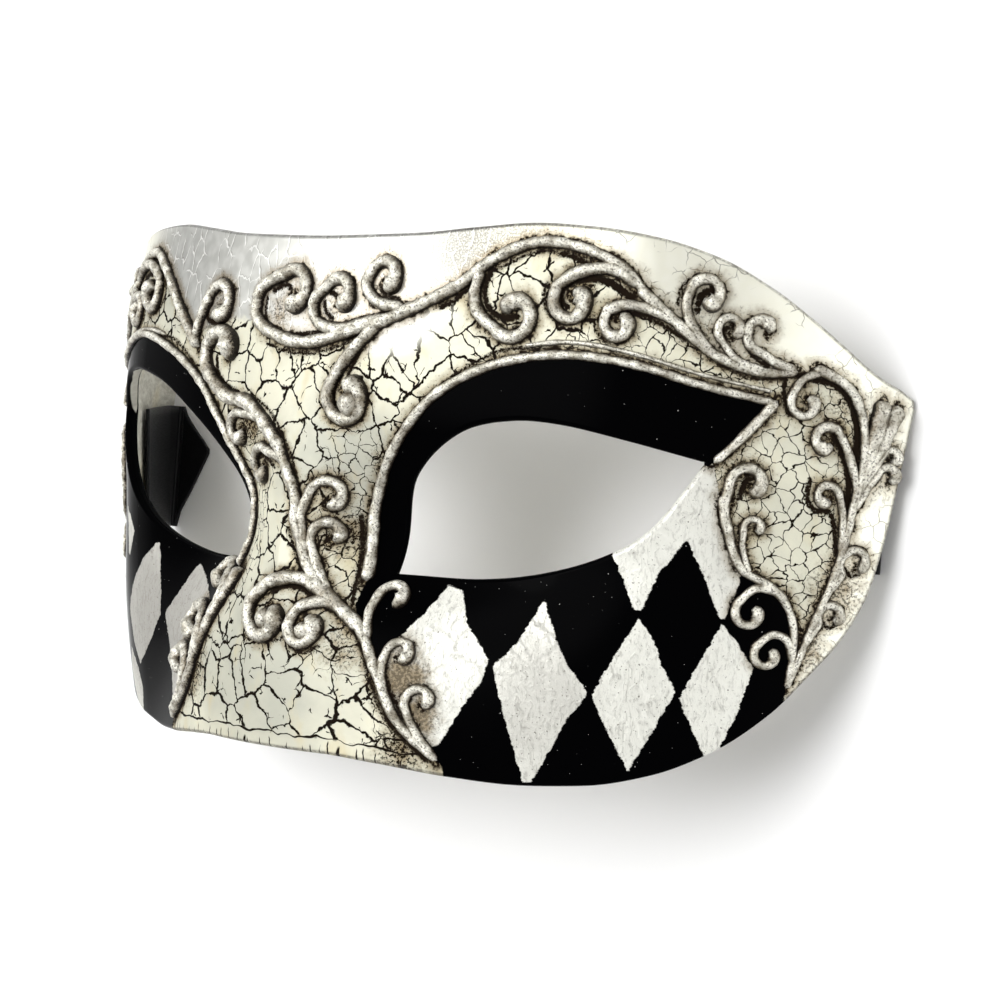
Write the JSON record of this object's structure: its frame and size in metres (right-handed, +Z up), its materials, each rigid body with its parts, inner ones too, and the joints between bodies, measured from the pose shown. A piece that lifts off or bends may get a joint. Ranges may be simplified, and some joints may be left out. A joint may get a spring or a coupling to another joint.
{
  "type": "masquerade half mask",
  "caption": "Moulded half mask with open eye holes, raised scrollwork, corded eye rims and short tie ribbons, lying face up on its temples.",
  "frame": {"origin": "on the resting surface, under the middle of the mask's box", "axes": "+X to the wearer's left, +Y up the face towards the forehead, +Z up out of the face as it lies on its back"},
  "size_m": [0.1788, 0.0888, 0.0535],
  "materials": {
    "shell": "papier-mache under cream crackle paint, with gloss black eye bands and cheeks, silver leaf diamonds, and bare cream paper inside",
    "relief": "raised paste, silver paint with a dark wash in the hollows",
    "ribbon": "black satin"
  },
  "bodies": {
    "root": {"face_shell": "shell", "eye_rim_left": "relief", "eye_rim_right": "relief", "brow_scroll_left": "relief", "brow_scroll_right": "relief", "temple_scroll_left": "relief", "temple_scroll_right": "relief", "nose_scroll_left": "relief", "nose_scroll_right": "relief", "ribbon_left": "ribbon", "ribbon_right": "ribbon"}
  },
  "joints": []
}
